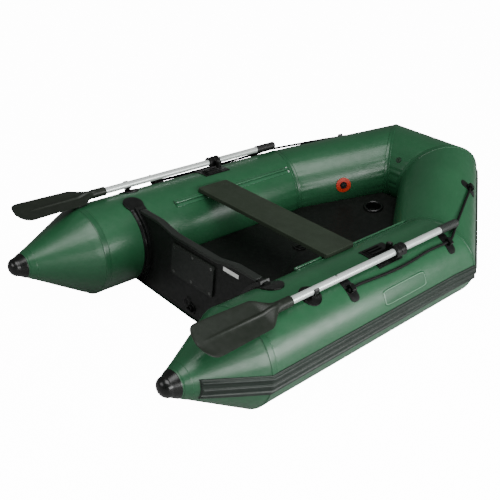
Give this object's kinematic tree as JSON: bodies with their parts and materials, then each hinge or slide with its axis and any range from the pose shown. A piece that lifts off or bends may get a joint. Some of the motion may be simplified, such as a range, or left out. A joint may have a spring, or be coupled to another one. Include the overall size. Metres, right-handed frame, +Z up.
{
  "type": "inflatable dinghy",
  "caption": "Inflatable dinghy with hinged stowed oars, a sliding bench seat, an air floor and a rigid transom for an outboard motor.",
  "frame": {"origin": "under the middle of the length and beam, on the surface the tubes rest on", "axes": "+X to the bow, +Y to port, +Z up"},
  "size_m": [2.1338, 1.276, 0.4974],
  "materials": {
    "hull_pvc": "welded PVC-coated fabric, satin gloss",
    "strake_rubber": "ribbed extruded strip",
    "cap_rubber": "moulded, satin",
    "transom_paint": "plywood with a dark textured coating",
    "holder_pvc": "moulded PVC",
    "plate_plastic": "textured moulding",
    "screw_steel": "blackened stainless screws",
    "valve_plastic": "moulded",
    "valve_red": "soft moulded flange",
    "valve_green": "soft moulding",
    "label_white": "blank printed film",
    "floor_fabric": "dark coated drop-stitch fabric",
    "hull_bottom_pvc": "coated fabric",
    "seat_paint": "dark olive coated plywood",
    "rail_pvc": "welted PVC strip",
    "oar_alloy": "anodised tube",
    "oar_plastic": "moulded polypropylene",
    "grip_rubber": "soft grip sleeve",
    "rowlock_rubber": "moulded rowlock",
    "pin_steel": "dark stainless pin",
    "rope_black": "braided line",
    "patch_rubber": "moulded loop patch",
    "badge_pvc": "blank outlined patch"
  },
  "bodies": {
    "hull": {"air_floor": "floor_fabric", "blank_data_plate": "label_white", "blank_side_badges": "badge_pvc", "bow_cross_tube": "hull_pvc", "bow_relief_valve": "valve_green", "bow_strakes": "strake_rubber", "chamber_bulkheads": "hull_pvc", "drain_leash": "valve_plastic", "drain_socket": "valve_plastic", "floor_valve_body": "valve_plastic", "grab_line_patches": "patch_rubber", "hull_bottom": "hull_bottom_pvc", "inflatable_keel": "hull_bottom_pvc", "inner_motor_pad": "plate_plastic", "keel_valve_body": "valve_plastic", "keel_valve_collar": "floor_fabric", "motor_plate_screws": "screw_steel", "oar_clip_bases": "patch_rubber", "oar_clip_hooks": "rowlock_rubber", "outer_motor_plate": "plate_plastic", "port_bow_tube": "hull_pvc", "port_grab_line": "rope_black", "port_rowlock_base": "rowlock_rubber", "port_side_tube": "hull_pvc", "rowlock_pins": "pin_steel", "seam_tapes": "hull_pvc", "seat_rails": "rail_pvc", "side_strakes": "strake_rubber", "starboard_bow_tube": "hull_pvc", "starboard_grab_line": "rope_black", "starboard_rowlock_base": "rowlock_rubber", "starboard_side_tube": "hull_pvc", "stern_caps": "cap_rubber", "transom_board": "transom_paint", "transom_holders": "holder_pvc", "valve_body": "valve_plastic", "valve_flange": "valve_red"},
    "seat": {"seat_board": "seat_paint", "seat_slide_clips": "plate_plastic"},
    "inflation_cap": {"valve_cap": "valve_plastic"},
    "floor_cap": {"floor_valve_cap": "valve_plastic"},
    "keel_cap": {"keel_valve_cap": "valve_plastic"},
    "bung": {"drain_bung": "valve_plastic"},
    "port_yoke": {"port_rowlock_yoke": "rowlock_rubber"},
    "port_oar": {"port_oar_collar": "rowlock_rubber", "port_oar_lower_shaft": "oar_alloy", "port_oar_upper_shaft": "oar_alloy", "port_oar_grip": "grip_rubber", "port_oar_blade": "oar_plastic"},
    "port_button": {"port_oar_button": "screw_steel"},
    "starboard_yoke": {"starboard_rowlock_yoke": "rowlock_rubber"},
    "starboard_oar": {"starboard_oar_collar": "rowlock_rubber", "starboard_oar_lower_shaft": "oar_alloy", "starboard_oar_upper_shaft": "oar_alloy", "starboard_oar_grip": "grip_rubber", "starboard_oar_blade": "oar_plastic"},
    "starboard_button": {"starboard_oar_button": "screw_steel"}
  },
  "joints": [
    {"name": "port_oar_swing", "type": "hinge", "parent": "hull", "child": "port_yoke", "pos_m": [0, 0.482, 0.375], "axis": [0, 0, -1], "range_deg": [0, 95], "deforming": ["oar_clip_hooks"]},
    {"name": "port_oar_dip", "type": "hinge", "parent": "port_yoke", "child": "port_oar", "pos_m": [0, 0.522, 0.375], "axis": [0, 1, 0], "range_deg": [-13.4, 0]},
    {"name": "port_oar_button_press", "type": "slide", "parent": "port_oar", "child": "port_button", "axis": [0, 0, -1], "range_m": [0, 0.003], "stiffness_N_per_m": 400},
    {"name": "starboard_oar_swing", "type": "hinge", "parent": "hull", "child": "starboard_yoke", "pos_m": [0, -0.482, 0.375], "axis": [0, 0, 1], "range_deg": [0, 95]},
    {"name": "starboard_oar_dip", "type": "hinge", "parent": "starboard_yoke", "child": "starboard_oar", "pos_m": [0, -0.522, 0.375], "axis": [0, 1, 0], "range_deg": [-13.4, 0]},
    {"name": "starboard_oar_button_press", "type": "slide", "parent": "starboard_oar", "child": "starboard_button", "axis": [0, 0, -1], "range_m": [0, 0.003], "stiffness_N_per_m": 400},
    {"name": "seat_slide", "type": "slide", "parent": "hull", "child": "seat", "axis": [1, 0, 0], "range_m": [-0.15, 0.38]},
    {"name": "valve_cap_turn", "type": "hinge", "parent": "hull", "child": "inflation_cap", "pos_m": [0.52136, 0.15435, 0.26504], "axis": [-0.568, -0.8145, 0.1186], "range_deg": [0, 90]},
    {"name": "floor_valve_cap_turn", "type": "hinge", "parent": "hull", "child": "floor_cap", "pos_m": [0.06, 0, 0.14], "axis": [0, 0, 1], "range_deg": [0, 90]},
    {"name": "keel_valve_cap_turn", "type": "hinge", "parent": "hull", "child": "keel_cap", "pos_m": [0.575, 0, 0.1939], "axis": [-0.2149, 0, 0.9766], "range_deg": [0, 90]},
    {"name": "drain_bung_pull", "type": "slide", "parent": "hull", "child": "bung", "axis": [-1, 0, 0], "range_m": [0, 0.03]}
  ],
  "couplings": [
    {"joint": "port_oar_dip", "follows": "port_oar_swing", "ratio": -0.14},
    {"joint": "starboard_oar_dip", "follows": "starboard_oar_swing", "ratio": -0.14}
  ]
}
